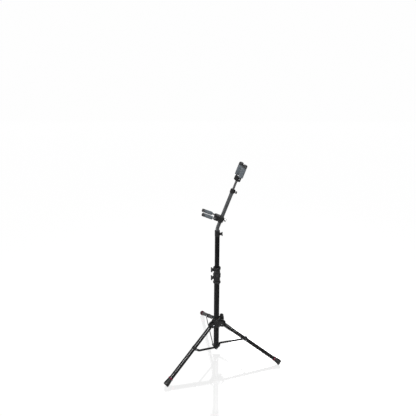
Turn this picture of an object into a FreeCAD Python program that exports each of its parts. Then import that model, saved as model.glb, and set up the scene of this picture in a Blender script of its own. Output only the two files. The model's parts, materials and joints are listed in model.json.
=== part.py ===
import FreeCAD, Part
import math
import os

# Playing-height saxophone stand: folding tripod, three-section mast, tilted arm with a padded cradle
# for the bow and a padded fork for the bell.  Millimetres, +Z up, mast axis on Z, floor at Z = 0.

V = FreeCAD.Vector
Z_AXIS = V(0, 0, 1)

# ---- tripod linkage ---------------------------------------------------------------------------
LEG_AZIMUTHS = [223.6, 343.6, 103.6]   # degrees from +X for legs 1, 2, 3
LEG_TILT = 60.26                       # leg axis from vertical when the tripod is open
HUB_PIVOT_RADIUS = 36.0                # leg pivots on the hub
STRUT_PIVOT_RADIUS = 14.0              # strut pivots on the spider
LEG_PIN_REACH = 155.0                  # hub pivot to strut pin, along the leg
STRUT_LENGTH = 178.7                   # pivot to pin of a strut

# ---- legs and feet ----------------------------------------------------------------------------
LEG_RADIUS = 11.0
LEG_BORE = 9.7
LEG_TUBE_START = 24.0                  # all reaches run from the hub pivot along the leg
LEG_TUBE_END = 373.0
RING_START = 339.5
CAP_START = 345.0
CAP_END = 382.0
CAP_END_RADIUS = 15.0
CAP_NECK_RADIUS = 12.9
CAP_ROUNDING = 4.0

# ---- strut ------------------------------------------------------------------------------------
STRUT_INNER_FACE = 15.8                # the strut lies beside the leg and the mast
STRUT_THICKNESS = 2.5
STRUT_HALF_HEIGHT = 5.6
STRUT_EYE_RADIUS = 6.8
STRUT_KNEE_LOW = (4.0, 12.0)           # from the spider pivot to the lower knee
STRUT_KNEE_HIGH = (-22.6, -19.4)       # from the leg pin to the upper knee
PIN_RADIUS = 3.0
RUNNING_FIT = 0.05
OPEN_PIN_GAP = 0.4                     # extra room where the closed linkage is opened

# ---- mast tubes -------------------------------------------------------------------------------
LOWER_TUBE = (15.0, 14.1)              # outer and inner radius
MIDDLE_TUBE = (13.85, 12.95)
UPPER_TUBE = (12.7, 11.5)
SPIDER_BOTTOM = 27.0
LOWER_TUBE_BOTTOM = 56.0
CLAMP_HEIGHT = 47.0
CLAMP_SEAT = 27.0                      # depth of the clamp on its own tube
CLAMP_1_BOTTOM = 454.5
CLAMP_2_BOTTOM = 502.0
MIDDLE_TUBE_BOTTOM = 92.0
UPPER_TUBE_BOTTOM = 292.0
MAST_TOP = 760.0

# ---- clamps and knobs -------------------------------------------------------------------------
CLAMP_FLANGE_RADIUS = 20.3
CLAMP_WAIST_RADIUS = 17.4
CLAMP_KNOB_LEVEL = 33.0                # above the bottom of the clamp
CLAMP_KNOB_AZIMUTH = 190.0
CLAMP_KNOB_CLOCKING = 35.0
HUB_KNOB_AZIMUTH = 43.6
TOP_KNOB_AZIMUTH = 0.0
TOP_KNOB_LEVEL = 740.0

# ---- hub --------------------------------------------------------------------------------------
HUB_BELOW = 24.0                       # from the leg pivots down and up
HUB_ABOVE = 27.0
HUB_RADIUS = 24.0
HUB_BORE = 17.4
HUB_SLOT_HALF = 6.0
HUB_CHEEK_HALF = 13.5
HUB_KNOB_RISE = 13.0
HUB_LUG_RADIUS = 15.0                  # round the leg pivot
HUB_WEB_RADIUS = 30.0                  # out along each lug to where its side walls start
HUB_WEB_HALF = 12.0                    # half height of the walls between the lugs

# ---- arm, cradle and fork ---------------------------------------------------------------------
ARM_RADIUS = 9.5
ARM_BORE = 8.2
ARM_TILT = 20.5
ARM_BEND_RADIUS = 45.0
ARM_SPIGOT_BOTTOM = 655.0
ARM_BEND_START = 764.0
ARM_RUN = 192.0
CRADLE_REACH = 46.0                    # bend end to cradle clamp, along the arm
CRADLE_HALF_SPREAD = 36.0
CRADLE_STEM = 30.0                     # arm axis to the cross bar of the yoke
CRADLE_PRONG = 55.0
CRADLE_CORNER = 16.0
FORK_HEAD_HEIGHT = 24.0
FORK_ROD_RADIUS = 6.0
FORK_ROD_INSET = 110.0                 # length of rod inside the arm
FORK_ROD_RUN = 67.0                    # length of rod above the arm
FORK_AZIMUTH = -80.0                   # towards the near prong
FORK_HALF_SPREAD = 33.0
FORK_PRONG_LENGTH = 64.0
FORK_CORNER = 12.0                     # bend radius of the prongs
FORK_PRONG_LEVEL = 12.0                # height of the prongs' roots in the fork head
PAD_RADIUS = 12.0
PRONG_RADIUS = 4.5


def radians(angle):
    return angle * math.pi / 180.0


# ---- values worked out from the dimensions above ----------------------------------------------
SIN_TILT = math.sin(radians(LEG_TILT))
COS_TILT = math.cos(radians(LEG_TILT))
# the rounded edge of each foot cap just touches the floor
HUB_LEVEL = ((CAP_END - CAP_ROUNDING) * COS_TILT
             + (CAP_END_RADIUS - CAP_ROUNDING) * SIN_TILT + CAP_ROUNDING)
PIN_R = HUB_PIVOT_RADIUS + LEG_PIN_REACH * SIN_TILT
PIN_Z = HUB_LEVEL - LEG_PIN_REACH * COS_TILT
STRUT_PIVOT_Z = PIN_Z - math.sqrt(STRUT_LENGTH ** 2 - (PIN_R - STRUT_PIVOT_RADIUS) ** 2)
ARM_DIR = V(math.sin(radians(ARM_TILT)), 0, math.cos(radians(ARM_TILT)))
ARM_BEND_END = V(ARM_BEND_RADIUS * (1 - math.cos(radians(ARM_TILT))), 0,
                 ARM_BEND_START + ARM_BEND_RADIUS * math.sin(radians(ARM_TILT)))


def rod(radius, length, base, direction):
    """A round bar."""
    return Part.makeCylinder(radius, length, base, direction)


def pipe(outer, inner, length, base, direction):
    """A round tube."""
    return rod(outer, length, base, direction).cut(rod(inner, length, base, direction))


def turned(profile, base=None, direction=None):
    """A turned piece: (radius, height) points revolved about the axis, then placed along it."""
    points = [V(radius, 0, height) for radius, height in profile]
    face = Part.Face(Part.makePolygon(points + [points[0]]))
    solid = face.revolve(V(0, 0, 0), Z_AXIS, 360)
    if direction is not None:
        solid.Placement = FreeCAD.Placement(base, FreeCAD.Rotation(Z_AXIS, direction))
    return solid


def rounded(shape, radius, pick):
    """Round the edges that pick() accepts; a shape that refuses keeps its sharp edges."""
    edges = [edge for edge in shape.Edges if pick(edge)]
    try:
        result = shape.makeFillet(radius, edges)
        if result.isValid() and result.Volume > 0:
            return result
    except Exception:
        pass
    return shape


def spun(shape, azimuth):
    """A copy turned about the mast axis."""
    copy = shape.copy()
    copy.rotate(V(0, 0, 0), Z_AXIS, azimuth)
    return copy


def tilted(shape, reach_base):
    """A copy moved from its own Z axis onto the leg axis, starting at a reach along the leg."""
    direction = V(SIN_TILT, 0, -COS_TILT)
    base = V(HUB_PIVOT_RADIUS, 0, HUB_LEVEL) + direction * reach_base
    copy = shape.copy()
    copy.Placement = FreeCAD.Placement(base, FreeCAD.Rotation(Z_AXIS, direction))
    return copy


def save(name, *solids):
    """Write one node: a single solid, or a group of separate solids."""
    shape = solids[0] if len(solids) == 1 else Part.makeCompound(list(solids))
    if not shape.isValid():
        raise RuntimeError(name + " is not a valid shape")
    shape.exportStep("parts/" + name + ".step")


# ---- legs -------------------------------------------------------------------------------------
def leg_tube():
    return tilted(pipe(LEG_RADIUS, LEG_BORE, LEG_TUBE_END - LEG_TUBE_START, V(0, 0, 0), Z_AXIS)
                  .cut(rod(PIN_RADIUS, 4 * LEG_RADIUS,
                           V(0, -2 * LEG_RADIUS, LEG_PIN_REACH - LEG_TUBE_START), V(0, 1, 0))),
                  LEG_TUBE_START)


def leg_pivot_end(gap):
    """Moulded end: a tongue with the pivot hole, a shoulder and a spigot inside the tube."""
    tongue_half, tongue_side = 9.5, 5.6
    tongue = rod(tongue_half, 2 * tongue_side, V(0, -tongue_side, 0), V(0, 1, 0))
    tongue = tongue.fuse(Part.makeBox(2 * tongue_half, 2 * tongue_side, 20.0,
                                      V(-tongue_half, -tongue_side, 0)))
    shoulder = turned([(0, 17.0), (9.0, 17.0), (LEG_RADIUS, 20.0), (LEG_RADIUS, LEG_TUBE_START),
                       (LEG_BORE - 0.03, LEG_TUBE_START), (LEG_BORE - 0.03, 47.0), (8.2, 49.0),
                       (0, 49.0)])
    body = tongue.fuse(shoulder).removeSplitter()
    body = body.cut(rod(PIN_RADIUS + gap, 4 * tongue_side, V(0, -2 * tongue_side, 0), V(0, 1, 0)))
    return tilted(body, 0)


def strut_bracket():
    """Moulded saddle round the leg with the boss that carries the strut."""
    half, wall_radius, boss_radius = 8.0, 12.2, 6.8
    saddle = turned([(LEG_RADIUS + 0.02, -half), (wall_radius - 0.5, -half), (wall_radius, 1 - half),
                     (wall_radius, half - 1), (wall_radius - 0.5, half), (LEG_RADIUS + 0.02, half)])
    boss = rod(boss_radius, STRUT_INNER_FACE - 0.2, V(0, 0, 0), V(0, 1, 0))
    boss = boss.cut(rod(LEG_RADIUS + 0.02, 2 * half, V(0, 0, -half), Z_AXIS))
    body = saddle.fuse(boss).removeSplitter()
    body = body.cut(rod(PIN_RADIUS + 0.02, 60, V(0, -30, 0), V(0, 1, 0)))
    return tilted(body, LEG_PIN_REACH)


def pivot_pin(inner_end, outer_face, head_radius, head_height):
    """A pin along +Y with a domed head beyond outer_face."""
    profile = [(0, inner_end), (PIN_RADIUS, inner_end), (PIN_RADIUS, outer_face),
               (head_radius, outer_face), (head_radius, outer_face + 0.5 * head_height),
               (0.6 * head_radius, outer_face + head_height), (0, outer_face + head_height)]
    return turned(profile, V(0, 0, 0), V(0, 1, 0))


def strut_rivet():
    """Rivet through the leg and its bracket; the strut turns on its outer end."""
    outer_face = STRUT_INNER_FACE + STRUT_THICKNESS + 0.15
    shank_end = 12.4
    pin = pivot_pin(-shank_end, outer_face, 5.4, 2.4)
    closing_head = turned([(0, -shank_end - 2.0), (3.2, -shank_end - 2.0), (5.0, -shank_end - 0.8),
                           (5.0, -shank_end + 0.05), (0, -shank_end + 0.05)],
                          V(0, 0, 0), V(0, 1, 0))
    return tilted(pin.fuse(closing_head).removeSplitter(), LEG_PIN_REACH)


def foot_cap():
    """Flared rubber cap, closed at the floor end."""
    height = CAP_END - CAP_START
    steps = 6
    profile = [(LEG_RADIUS + 0.02, 0), (CAP_NECK_RADIUS - 0.8, 0), (CAP_NECK_RADIUS, 0.8),
               (CAP_NECK_RADIUS, 6.0), (CAP_END_RADIUS, height - CAP_ROUNDING - 9.0)]
    for step in range(steps + 1):
        turn = radians(90.0 * step / steps)
        profile.append((CAP_END_RADIUS - CAP_ROUNDING + CAP_ROUNDING * math.cos(turn),
                        height - CAP_ROUNDING + CAP_ROUNDING * math.sin(turn)))
    profile += [(0, height), (0, LEG_TUBE_END - CAP_START + 0.3),
                (LEG_RADIUS + 0.02, LEG_TUBE_END - CAP_START + 0.3)]
    return tilted(turned(profile), CAP_START)


def foot_ring():
    """Coloured collar between tube and cap."""
    height = CAP_START - RING_START - 0.05
    return tilted(turned([(LEG_RADIUS + 0.02, 0), (12.5, 0), (13.4, 1.0), (13.4, height - 1.0),
                          (12.5, height), (LEG_RADIUS + 0.02, height)]), RING_START)


# ---- struts and spider ------------------------------------------------------------------------
def strut():
    """Flat steel link, cranked at both ends, with a round eye on each pivot."""
    eye_low = V(STRUT_PIVOT_RADIUS, 0, STRUT_PIVOT_Z)
    eye_high = V(PIN_R, 0, PIN_Z)
    knee_low = eye_low + V(STRUT_KNEE_LOW[0], 0, STRUT_KNEE_LOW[1])
    knee_high = eye_high + V(STRUT_KNEE_HIGH[0], 0, STRUT_KNEE_HIGH[1])
    side = V(0, 1, 0)

    def disc(centre, radius):
        return rod(radius, STRUT_THICKNESS, centre, side)

    def bar(start, end):
        run = end - start
        across = run.cross(side).normalize() * STRUT_HALF_HEIGHT
        outline = [start + across, end + across, end - across, start - across, start + across]
        return Part.Face(Part.makePolygon(outline)).extrude(side * STRUT_THICKNESS)

    pieces = [disc(knee_low, STRUT_HALF_HEIGHT), disc(knee_high, STRUT_HALF_HEIGHT),
              disc(eye_high, STRUT_EYE_RADIUS), bar(eye_low, knee_low), bar(knee_low, knee_high),
              bar(knee_high, eye_high)]
    link = disc(eye_low, STRUT_EYE_RADIUS).multiFuse(pieces).removeSplitter()
    for eye in (eye_low, eye_high):
        link = link.cut(rod(PIN_RADIUS + RUNNING_FIT, 3 * STRUT_THICKNESS,
                            eye - side * STRUT_THICKNESS, side))
    link.translate(side * STRUT_INNER_FACE)
    return link


def bottom_spider():
    """Moulded foot plug of the mast with a lug beside each leg plane for the strut pivots."""
    outer = LOWER_TUBE[0]
    spigot = LOWER_TUBE[1] - 0.03
    plug = turned([(0, SPIDER_BOTTOM), (7.5, SPIDER_BOTTOM), (12.0, SPIDER_BOTTOM + 1.6),
                   (14.4, SPIDER_BOTTOM + 5.0), (outer, SPIDER_BOTTOM + 9.0),
                   (outer, LOWER_TUBE_BOTTOM), (spigot, LOWER_TUBE_BOTTOM),
                   (spigot, LOWER_TUBE_BOTTOM + 17), (spigot - 1.5, LOWER_TUBE_BOTTOM + 19),
                   (0, LOWER_TUBE_BOTTOM + 19)])
    lug_end = STRUT_INNER_FACE - 0.2
    lug_radius = 6.4
    lugs = []
    holes = []
    for azimuth in LEG_AZIMUTHS:
        pivot = V(STRUT_PIVOT_RADIUS, 0, STRUT_PIVOT_Z)
        lug = rod(lug_radius, lug_end - 2.0, pivot + V(0, 2.0, 0), V(0, 1, 0))
        lug = lug.fuse(Part.makeBox(STRUT_PIVOT_RADIUS, lug_end - 2.0, 2 * lug_radius,
                                    V(0, 2.0, STRUT_PIVOT_Z - lug_radius)))
        lugs.append(spun(lug, azimuth))
        holes.append(spun(rod(PIN_RADIUS + 0.02, 30, pivot + V(0, 3.0, 0), V(0, 1, 0)), azimuth))
    body = plug.multiFuse(lugs).removeSplitter()
    return body.cut(Part.makeCompound(holes))


def spider_bolts():
    """Shoulder bolts that the struts turn on at the spider."""
    bolt = pivot_pin(3.1, STRUT_INNER_FACE + STRUT_THICKNESS + 0.15, 5.4, 3.0)
    bolt.translate(V(STRUT_PIVOT_RADIUS, 0, STRUT_PIVOT_Z))
    return [spun(bolt, azimuth) for azimuth in LEG_AZIMUTHS]


# ---- hub --------------------------------------------------------------------------------------
def hub_radial(azimuth, level):
    """Base point on the mast axis and the outward direction of a radial screw."""
    return V(0, 0, level), V(math.cos(radians(azimuth)), math.sin(radians(azimuth)), 0)


def hub_body():
    """Moulded collar with three forked lugs and the boss of the clamping screw."""
    low = HUB_LEVEL - HUB_BELOW
    high = HUB_LEVEL + HUB_ABOVE
    collar = turned([(0, low), (HUB_RADIUS - 2.5, low), (HUB_RADIUS, low + 2.5),
                     (HUB_RADIUS, high - 12.0), (HUB_RADIUS - 3.0, high - 8.0),
                     (HUB_RADIUS - 3.0, high - 1.5), (HUB_RADIUS - 4.5, high), (0, high)])
    lugs = []
    slots = []
    corners = []
    for azimuth in LEG_AZIMUTHS:
        lug = Part.makeBox(HUB_PIVOT_RADIUS, 2 * HUB_CHEEK_HALF, 2 * HUB_LUG_RADIUS,
                           V(0, -HUB_CHEEK_HALF, HUB_LEVEL - HUB_LUG_RADIUS))
        lug = lug.fuse(rod(HUB_LUG_RADIUS, 2 * HUB_CHEEK_HALF,
                           V(HUB_PIVOT_RADIUS, -HUB_CHEEK_HALF, HUB_LEVEL), V(0, 1, 0)))
        lugs.append(spun(rounded(lug.removeSplitter(), 2.0, lug_edges), azimuth))
        slot = Part.makeBox(60, 2 * HUB_SLOT_HALF, 80,
                            V(HUB_RADIUS + 1.0, -HUB_SLOT_HALF, HUB_LEVEL - 40))
        hole = rod(PIN_RADIUS + 0.02, 60, V(HUB_PIVOT_RADIUS, -30, HUB_LEVEL), V(0, 1, 0))
        slots += [spun(slot, azimuth), spun(hole, azimuth)]
        turn = FreeCAD.Rotation(Z_AXIS, azimuth)
        for side in (-1, 1):
            corners.append(turn.multVec(V(HUB_WEB_RADIUS, side * (HUB_CHEEK_HALF - 0.5), 0)))
    web = Part.Face(Part.makePolygon(corners + [corners[0]])).extrude(V(0, 0, 2 * HUB_WEB_HALF))
    web.translate(V(0, 0, HUB_LEVEL - HUB_WEB_HALF))
    web = rounded(web, 1.5, lambda edge: edge.BoundBox.ZLength < 0.01)
    base, outward = hub_radial(HUB_KNOB_AZIMUTH, HUB_LEVEL + HUB_KNOB_RISE)
    boss = turned([(0, 0), (11.5, 0), (11.5, 30.5), (10.5, 32.5), (0, 32.5)], base, outward)
    body = collar.multiFuse(lugs + [web, boss]).removeSplitter()
    bore = rod(HUB_BORE, high - low, V(0, 0, low), Z_AXIS)
    insert_seat = rod(6.52, 14.0, base + outward * 19.5, outward)
    screw_way = rod(4.3, 40.0, base, outward)
    return body.cut(Part.makeCompound(slots)).cut(bore).cut(insert_seat).cut(screw_way)


def lug_edges(edge):
    """Long edges along the cheeks and the round ends of a hub lug."""
    box = edge.BoundBox
    at_side = abs(abs(box.YMin) - HUB_CHEEK_HALF) < 0.01 and box.YLength < 0.01
    return at_side and box.XMax > 1.0


def hub_bushing():
    low = HUB_LEVEL - HUB_BELOW + 0.5
    length = HUB_BELOW + HUB_ABOVE - 1.0
    sleeve = pipe(HUB_BORE - 0.02, LOWER_TUBE[0] + 0.3, length, V(0, 0, low), Z_AXIS)
    base, outward = hub_radial(HUB_KNOB_AZIMUTH, HUB_LEVEL + HUB_KNOB_RISE)
    return sleeve.cut(rod(4.3, 40.0, base, outward))


def hub_bolts():
    """Pivot bolts of the legs, screwed into the far cheek of each lug."""
    bolt = pivot_pin(-HUB_CHEEK_HALF + 0.5, HUB_CHEEK_HALF + 0.02, 5.6, 3.2)
    bolt.translate(V(HUB_PIVOT_RADIUS, 0, HUB_LEVEL))
    return [spun(bolt, azimuth) for azimuth in LEG_AZIMUTHS]


# ---- radial screws and knobs ------------------------------------------------------------------
def radial_screw(azimuth, level, radius, tip, end):
    """Clamping screw with a chamfered tip, pointing at the mast axis."""
    base, outward = hub_radial(azimuth, level)
    return turned([(0, tip), (radius - 1.0, tip), (radius, tip + 1.0), (radius, end), (0, end)],
                  base, outward)


def wing_knob(azimuth, level, clocking, face, size, screw_radius, screw_end):
    """Moulded wing knob: a round hub and a tapered bar across it."""
    hub_radius, hub_length, wing_half, wing_thick, wing_depth = size
    hub = turned([(0, 0), (hub_radius, 0), (hub_radius, hub_length - 2.0),
                  (hub_radius - 1.5, hub_length), (0, hub_length)])
    root = 3.5
    top = root + wing_depth
    outline = [V(-wing_half + 3.0, 0, root), V(wing_half - 3.0, 0, root),
               V(wing_half, 0, root + 3.5), V(wing_half, 0, top - 2.0),
               V(wing_half - 2.0, 0, top), V(-wing_half + 2.0, 0, top),
               V(-wing_half, 0, top - 2.0), V(-wing_half, 0, root + 3.5),
               V(-wing_half + 3.0, 0, root)]
    wings = Part.Face(Part.makePolygon(outline)).extrude(V(0, wing_thick, 0))
    wings.translate(V(0, -wing_thick / 2, 0))
    knob = hub.fuse(rounded(wings, 1.2, lambda edge: True)).removeSplitter()
    knob = knob.cut(rod(screw_radius + 0.02, screw_end - face + 0.02, V(0, 0, 0), Z_AXIS))
    base, outward = hub_radial(azimuth, level)
    knob.rotate(V(0, 0, 0), Z_AXIS, clocking)
    turn = FreeCAD.Rotation(Z_AXIS, outward)
    knob.Placement = FreeCAD.Placement(base + outward * face, turn).multiply(knob.Placement)
    return knob


def threaded_insert(azimuth, level, outer, bore, start, end):
    """Brass insert with a knurled-looking waist between two flanges."""
    base, outward = hub_radial(azimuth, level)
    waist = outer - 0.6
    middle = (start + end) / 2
    return turned([(bore, start), (outer, start), (outer, middle - 0.8), (waist, middle - 0.5),
                   (waist, middle + 0.5), (outer, middle + 0.8), (outer, end), (bore, end)],
                  base, outward)


# ---- mast clamps ------------------------------------------------------------------------------
def clamp_body(bottom, own_tube_radius):
    """Moulded clamp: grips its own tube below and carries a bushing and a knob above."""
    flange, waist = CLAMP_FLANGE_RADIUS, CLAMP_WAIST_RADIUS
    top = CLAMP_HEIGHT
    outside = turned([(0, 0), (flange - 1.2, 0), (flange, 1.2), (flange, 8.5), (flange - 1.0, 9.5),
                      (waist, 11.0), (waist, top - 14.0), (flange - 0.8, top - 12.0),
                      (flange, top - 11.0), (flange, top - 1.5), (flange - 1.5, top), (0, top)],
                     V(0, 0, bottom), Z_AXIS)
    base, outward = hub_radial(CLAMP_KNOB_AZIMUTH, bottom + CLAMP_KNOB_LEVEL)
    boss = turned([(0, 0), (8.4, 0), (8.4, 20.2), (7.4, 21.2), (0, 21.2)], base, outward)
    body = outside.fuse(boss).removeSplitter()
    body = body.cut(rod(own_tube_radius + 0.02, CLAMP_HEIGHT, V(0, 0, bottom), Z_AXIS))
    return body.cut(rod(PIN_RADIUS + RUNNING_FIT, 30, base, outward))


def clamp_bushing(bottom, outer, inner):
    """Nylon sleeve that guides the sliding tube in the upper half of a clamp."""
    low = bottom + CLAMP_SEAT + 0.2
    sleeve = pipe(outer, inner + RUNNING_FIT, CLAMP_HEIGHT - CLAMP_SEAT - 0.8, V(0, 0, low), Z_AXIS)
    base, outward = hub_radial(CLAMP_KNOB_AZIMUTH, bottom + CLAMP_KNOB_LEVEL)
    return sleeve.cut(rod(PIN_RADIUS + RUNNING_FIT, 30, base, outward))


def clamp_knob_parts(bottom, sliding_radius):
    level = bottom + CLAMP_KNOB_LEVEL
    screw = radial_screw(CLAMP_KNOB_AZIMUTH, level, PIN_RADIUS, sliding_radius + 0.35, 30.0)
    knob = wing_knob(CLAMP_KNOB_AZIMUTH, level, CLAMP_KNOB_CLOCKING, 21.5,
                     (7.6, 11.0, 12.0, 9.6, 8.5), PIN_RADIUS, 30.0)
    return screw, knob


def tube_guide(outer, spigot, top, bore):
    """Moulded guide ring with a spigot pressed into the foot of a sliding tube."""
    return turned([(bore, top - 14.0), (outer - 1.0, top - 14.0), (outer, top - 13.0),
                   (outer, top), (spigot, top), (spigot, top + 14.0), (spigot - 1.0, top + 15.0),
                   (bore, top + 15.0)])


# ---- mast top ---------------------------------------------------------------------------------
def upper_tube():
    tube = pipe(UPPER_TUBE[0], UPPER_TUBE[1], MAST_TOP - 1.5 - UPPER_TUBE_BOTTOM,
                V(0, 0, UPPER_TUBE_BOTTOM), Z_AXIS)
    base, outward = hub_radial(TOP_KNOB_AZIMUTH, TOP_KNOB_LEVEL)
    return tube.cut(rod(PIN_RADIUS + 0.3, 30, base, outward))


def top_collar():
    """Ferrule on the mast top with the boss of the arm screw."""
    low = TOP_KNOB_LEVEL - 12.0
    wall = UPPER_TUBE[0] + 0.9
    ferrule = turned([(UPPER_TUBE[0] + 0.02, low), (wall, low), (wall, MAST_TOP - 0.8),
                      (wall - 0.8, MAST_TOP), (ARM_RADIUS + 0.8, MAST_TOP),
                      (ARM_RADIUS + 0.8, MAST_TOP - 1.4), (UPPER_TUBE[0] + 0.02, MAST_TOP - 1.4)])
    base, outward = hub_radial(TOP_KNOB_AZIMUTH, TOP_KNOB_LEVEL)
    boss = turned([(0, 0), (7.0, 0), (7.0, 16.4), (6.2, 17.2), (0, 17.2)], base, outward)
    boss = boss.cut(rod(UPPER_TUBE[0] + 0.02, 40, V(0, 0, TOP_KNOB_LEVEL - 20), Z_AXIS))
    body = ferrule.fuse(boss).removeSplitter()
    return body.cut(rod(PIN_RADIUS + RUNNING_FIT, 30, base, outward))


def arm_socket_sleeve():
    """Nylon sleeve inside the mast top that the arm spigot turns in."""
    low = ARM_SPIGOT_BOTTOM - 8.0
    sleeve = pipe(UPPER_TUBE[1] - 0.03, ARM_RADIUS + RUNNING_FIT, MAST_TOP - 1.6 - low,
                  V(0, 0, low), Z_AXIS)
    base, outward = hub_radial(TOP_KNOB_AZIMUTH, TOP_KNOB_LEVEL)
    return sleeve.cut(rod(PIN_RADIUS + 0.3, 30, base, outward))


# ---- arm --------------------------------------------------------------------------------------
def bent_bar(radius):
    """Spigot, bend and straight run of the arm as one round bar."""
    spigot = rod(radius, ARM_BEND_START - ARM_SPIGOT_BOTTOM, V(0, 0, ARM_SPIGOT_BOTTOM), Z_AXIS)
    section = Part.Face(Part.Wire(Part.makeCircle(radius, V(0, 0, ARM_BEND_START), Z_AXIS)))
    bend = section.revolve(V(ARM_BEND_RADIUS, 0, ARM_BEND_START), V(0, 1, 0), ARM_TILT)
    run = rod(radius, ARM_RUN, ARM_BEND_END, ARM_DIR)
    return spigot.multiFuse([bend, run]).removeSplitter()


def arm_tube():
    """Bent steel tube, open at both ends."""
    return bent_bar(ARM_RADIUS).cut(bent_bar(ARM_BORE))


def on_arm(shape, reach):
    """A copy moved from its own Z axis onto the straight run of the arm."""
    copy = shape.copy()
    turn = FreeCAD.Rotation(V(0, 1, 0), ARM_TILT)
    shift = FreeCAD.Placement(ARM_BEND_END + ARM_DIR * reach, turn)
    copy.Placement = shift.multiply(copy.Placement)
    return copy


def arm_top_collar():
    """Moulded collar on the arm top: guides the fork rod and takes its thumb screw."""
    outside = turned([(FORK_ROD_RADIUS + RUNNING_FIT, -24.0), (ARM_BORE - 0.03, -24.0),
                      (ARM_BORE - 0.03, 0), (ARM_RADIUS, 0), (12.2, 1.5), (12.2, 20.0),
                      (10.5, 22.0), (FORK_ROD_RADIUS + RUNNING_FIT, 22.0)])
    boss = rod(6.0, 15.5, V(0, 0, 11.0), V(1, 0, 0))
    boss = boss.cut(rod(FORK_ROD_RADIUS + RUNNING_FIT, 40, V(0, 0, -5), Z_AXIS))
    body = outside.fuse(boss).removeSplitter()
    flat = Part.makeBox(3, 12, 46.0, V(FORK_ROD_RADIUS - 1.15, -6, -24.0))
    key = flat.common(rod(FORK_ROD_RADIUS + 0.2, 46.0, V(0, 0, -24.0), Z_AXIS))
    key = key.cut(rod(1.0, 60.0, V(0, 0, -30.0), Z_AXIS))
    body = body.fuse(key).removeSplitter()
    return on_arm(body.cut(rod(2.55, 30, V(0, 0, 11.0), V(1, 0, 0))), ARM_RUN)


def thumb_screw(radius, tip, face, head_radius, head_height):
    """Knurled thumb screw along +X."""
    screw = turned([(0, tip), (radius - 0.6, tip), (radius, tip + 0.6), (radius, face),
                    (head_radius - 1.0, face), (head_radius, face + 1.0),
                    (head_radius, face + head_height - 1.0), (head_radius - 1.0, face + head_height),
                    (0, face + head_height)], V(0, 0, 0), V(1, 0, 0))
    grooves = []
    count = 14
    for index in range(count):
        angle = radians(360.0 * index / count)
        centre = V(face - 1.0, head_radius * math.cos(angle), head_radius * math.sin(angle))
        grooves.append(rod(0.9, head_height + 2.0, centre, V(1, 0, 0)))
    return screw.cut(Part.makeCompound(grooves))


# ---- lower cradle -----------------------------------------------------------------------------
def yoke(rod_radius, half_spread, corner, stem, prong):
    """U-shaped bar: cross piece along Y at X = -stem, prongs towards -X, rounded corners."""
    cross = rod(rod_radius, 2 * (half_spread - corner), V(-stem, corner - half_spread, 0), V(0, 1, 0))
    pieces = []
    for side in (-1, 1):
        centre = V(-stem - corner, side * (half_spread - corner), 0)
        start = V(-stem, side * (half_spread - corner), 0)
        section = Part.Face(Part.Wire(Part.makeCircle(rod_radius, start, V(0, 1, 0))))
        pieces.append(section.revolve(centre, Z_AXIS, 90 * side))
        pieces.append(rod(rod_radius, prong, V(-stem - corner, side * half_spread, 0), V(-1, 0, 0)))
    return cross.multiFuse(pieces).removeSplitter()


def cradle_clamp():
    """Moulded block that slides on the arm and holds the cradle yoke."""
    block = Part.makeBox(50.0, 34.0, 30.0, V(-38.0, -17.0, -15.0))
    block = rounded(block, 4.0, lambda edge: edge.Length < 60)
    boss = rod(7.0, 16.5, V(0, 0, 0), V(1, 0, 0))
    body = block.fuse(boss).removeSplitter()
    body = body.cut(rod(ARM_RADIUS + RUNNING_FIT, 60, V(0, 0, -30), Z_AXIS))
    body = body.cut(rod(2.55, 40, V(0, 0, 0), V(1, 0, 0)))
    return on_arm(body.cut(rod(PRONG_RADIUS + 0.02, 60, V(-CRADLE_STEM, -30, 0), V(0, 1, 0))),
                  CRADLE_REACH)


def cradle_yoke():
    return on_arm(yoke(PRONG_RADIUS, CRADLE_HALF_SPREAD, CRADLE_CORNER, CRADLE_STEM, CRADLE_PRONG),
                  CRADLE_REACH)


def pad_sleeve(length, radius, bore):
    """Foam sleeve with eased ends, from Z = 0 upwards."""
    return turned([(bore, 0), (radius - 1.5, 0), (radius, 1.5), (radius, length - 1.5),
                   (radius - 1.5, length), (bore, length)])


def end_cap(radius, bore, depth, height):
    """Rounded rubber cap over the end of a padded prong, from Z = 0 upwards."""
    steps = 6
    profile = [(bore, 0), (radius, 0), (radius, height - radius * 0.5)]
    for step in range(1, steps + 1):
        turn = radians(90.0 * step / steps)
        profile.append((radius * math.cos(turn), height - radius * 0.5 + radius * 0.5 * math.sin(turn)))
    profile += [(0, depth), (bore, depth)]
    return turned(profile)


def cradle_pads_and_caps():
    pad_start = CRADLE_STEM + CRADLE_CORNER + 2.0
    pad_length = CRADLE_PRONG - 12.0
    pads = []
    caps = []
    for side in (-1, 1):
        for group, shape, start in (
                (pads, pad_sleeve(pad_length, 9.5, PRONG_RADIUS + 0.02), pad_start),
                (caps, end_cap(9.8, PRONG_RADIUS + 0.02, 10.3, 15.0), pad_start + pad_length + 0.05)):
            shape.Placement = FreeCAD.Placement(V(-start, side * CRADLE_HALF_SPREAD, 0),
                                                FreeCAD.Rotation(Z_AXIS, V(-1, 0, 0)))
            group.append(on_arm(shape, CRADLE_REACH))
    return pads, caps


# ---- bell fork --------------------------------------------------------------------------------
def fork_frame(shape):
    """A copy placed on the top of the fork rod, with +X towards the near prong."""
    copy = shape.copy()
    spin = FreeCAD.Placement(V(0, 0, 0), FreeCAD.Rotation(Z_AXIS, FORK_AZIMUTH))
    copy.Placement = spin.multiply(copy.Placement)
    return on_arm(copy, ARM_RUN + FORK_ROD_RUN)


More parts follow.
